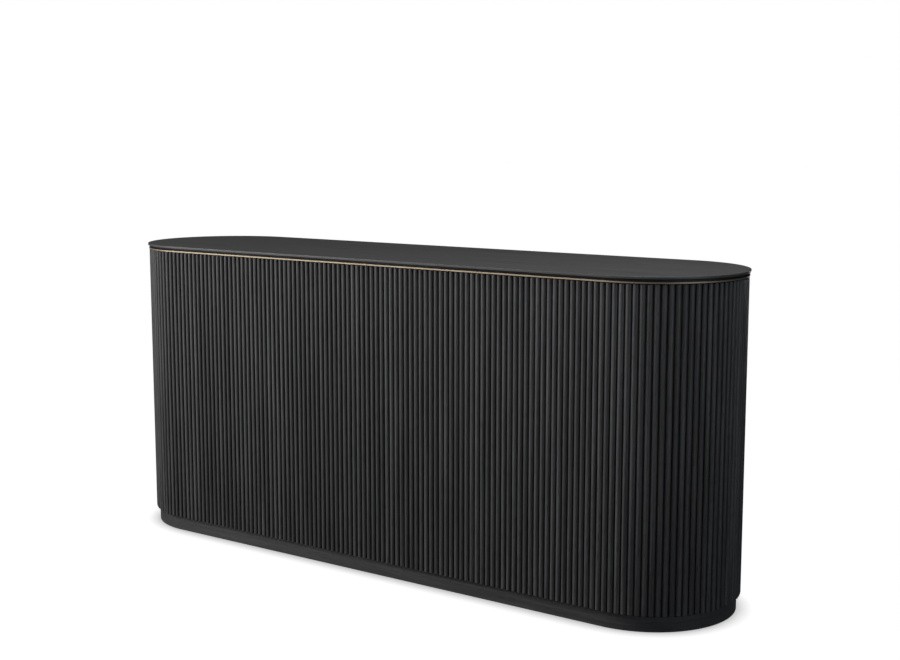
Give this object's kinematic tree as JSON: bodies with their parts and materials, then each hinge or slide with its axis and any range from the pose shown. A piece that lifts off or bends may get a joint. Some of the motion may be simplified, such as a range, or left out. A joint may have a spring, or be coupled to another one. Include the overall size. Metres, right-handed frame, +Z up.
{
  "type": "sideboard",
  "caption": "Long sideboard with round ends, vertical half-round reeding, push-to-open pivot doors, a brass band under a thin floating top and a recessed plinth.",
  "frame": {"origin": "on the floor, under the middle of the case", "axes": "+Z up, +X along the length, the doors face -Y"},
  "size_m": [1.7996, 0.45, 0.8],
  "materials": {
    "charcoal_oak_reeds": "charcoal-stained open-pore oak, matt lacquer",
    "charcoal_oak_top": "charcoal-stained oak veneer, smooth matt lacquer",
    "charcoal_oak_plinth": "charcoal-stained oak veneer, satin lacquer",
    "black_lacquered_wood": "black matt lacquer on wood",
    "charcoal_back_veneer": "charcoal-stained oak veneer, matt",
    "charcoal_veneered_board": "black-stained oak veneer on board, matt",
    "dark_oak_interior": "dark-stained oak veneer on board, matt",
    "plywood": "birch plywood, unfinished",
    "stained_plywood": "bent birch plywood, stained black outside under the reeds",
    "brushed_brass": "brushed, lacquered",
    "brass_insert": "turned",
    "zinc_plated_steel": "bright zinc",
    "black_steel": "black oxide",
    "black_plastic": "moulded",
    "white_nylon": "moulded"
  },
  "bodies": {
    "case": {"top_panel": "charcoal_oak_top", "neck_board": "black_lacquered_wood", "brass_band": "brushed_brass", "left_end_shell": "stained_plywood", "right_end_shell": "stained_plywood", "left_end_reeds": "charcoal_oak_reeds", "right_end_reeds": "charcoal_oak_reeds", "left_end_formers": "plywood", "right_end_formers": "plywood", "left_gable": "dark_oak_interior", "right_gable": "dark_oak_interior", "centre_partition": "dark_oak_interior", "carcass_top": "dark_oak_interior", "bottom_panel": "dark_oak_interior", "back_panel": "charcoal_back_veneer", "plinth_ring": "charcoal_oak_plinth", "plinth_rails": "plywood", "left_shelf": "dark_oak_interior", "right_shelf": "dark_oak_interior", "shelf_pins": "zinc_plated_steel", "carcass_screws": "zinc_plated_steel", "neck_screws": "zinc_plated_steel", "back_screws": "black_steel", "pivot_plates": "zinc_plated_steel", "pivot_plate_screws": "zinc_plated_steel", "pivot_washers": "white_nylon", "pivot_bushes": "white_nylon", "foot_inserts": "brass_insert", "latch_housings": "black_plastic", "latch_screws": "zinc_plated_steel"},
    "door_1": {"door_1_panel": "charcoal_veneered_board", "door_1_reeds": "charcoal_oak_reeds", "door_1_pivots": "zinc_plated_steel", "door_1_strike": "zinc_plated_steel"},
    "door_2": {"door_2_panel": "charcoal_veneered_board", "door_2_reeds": "charcoal_oak_reeds", "door_2_pivots": "zinc_plated_steel", "door_2_strike": "zinc_plated_steel"},
    "door_3": {"door_3_panel": "charcoal_veneered_board", "door_3_reeds": "charcoal_oak_reeds", "door_3_pivots": "zinc_plated_steel", "door_3_strike": "zinc_plated_steel"},
    "door_4": {"door_4_panel": "charcoal_veneered_board", "door_4_reeds": "charcoal_oak_reeds", "door_4_pivots": "zinc_plated_steel", "door_4_strike": "zinc_plated_steel"},
    "latch_1": {"plunger_1": "white_nylon"},
    "latch_2": {"plunger_2": "white_nylon"},
    "latch_3": {"plunger_3": "white_nylon"},
    "latch_4": {"plunger_4": "white_nylon"},
    "leveller_1": {"foot_1": "black_plastic"},
    "leveller_2": {"foot_2": "black_plastic"},
    "leveller_3": {"foot_3": "black_plastic"},
    "leveller_4": {"foot_4": "black_plastic"},
    "leveller_5": {"foot_5": "black_plastic"},
    "leveller_6": {"foot_6": "black_plastic"}
  },
  "joints": [
    {"name": "door_1_hinge", "type": "hinge", "parent": "case", "child": "door_1", "pos_m": [-0.57, -0.207, 0.41], "axis": [0, 0, -1], "range_deg": [0, 95]},
    {"name": "door_2_hinge", "type": "hinge", "parent": "case", "child": "door_2", "pos_m": [-0.06, -0.207, 0.41], "axis": [0, 0, 1], "range_deg": [0, 95]},
    {"name": "door_3_hinge", "type": "hinge", "parent": "case", "child": "door_3", "pos_m": [0.06, -0.207, 0.41], "axis": [0, 0, -1], "range_deg": [0, 95]},
    {"name": "door_4_hinge", "type": "hinge", "parent": "case", "child": "door_4", "pos_m": [0.57, -0.207, 0.41], "axis": [0, 0, 1], "range_deg": [0, 95]},
    {"name": "latch_1_press", "type": "slide", "parent": "case", "child": "latch_1", "axis": [0, 1, 0], "range_m": [0, 0.003], "stiffness_N_per_m": 200, "springref_m": -0.005},
    {"name": "latch_2_press", "type": "slide", "parent": "case", "child": "latch_2", "axis": [0, 1, 0], "range_m": [0, 0.003], "stiffness_N_per_m": 200, "springref_m": -0.005},
    {"name": "latch_3_press", "type": "slide", "parent": "case", "child": "latch_3", "axis": [0, 1, 0], "range_m": [0, 0.003], "stiffness_N_per_m": 200, "springref_m": -0.005},
    {"name": "latch_4_press", "type": "slide", "parent": "case", "child": "latch_4", "axis": [0, 1, 0], "range_m": [0, 0.003], "stiffness_N_per_m": 200, "springref_m": -0.005},
    {"name": "leveller_1_height", "type": "slide", "parent": "case", "child": "leveller_1", "axis": [0, 0, -1], "range_m": [0, 0.01]},
    {"name": "leveller_2_height", "type": "slide", "parent": "case", "child": "leveller_2", "axis": [0, 0, -1], "range_m": [0, 0.01]},
    {"name": "leveller_3_height", "type": "slide", "parent": "case", "child": "leveller_3", "axis": [0, 0, -1], "range_m": [0, 0.01]},
    {"name": "leveller_4_height", "type": "slide", "parent": "case", "child": "leveller_4", "axis": [0, 0, -1], "range_m": [0, 0.01]},
    {"name": "leveller_5_height", "type": "slide", "parent": "case", "child": "leveller_5", "axis": [0, 0, -1], "range_m": [0, 0.01]},
    {"name": "leveller_6_height", "type": "slide", "parent": "case", "child": "leveller_6", "axis": [0, 0, -1], "range_m": [0, 0.01]}
  ]
}
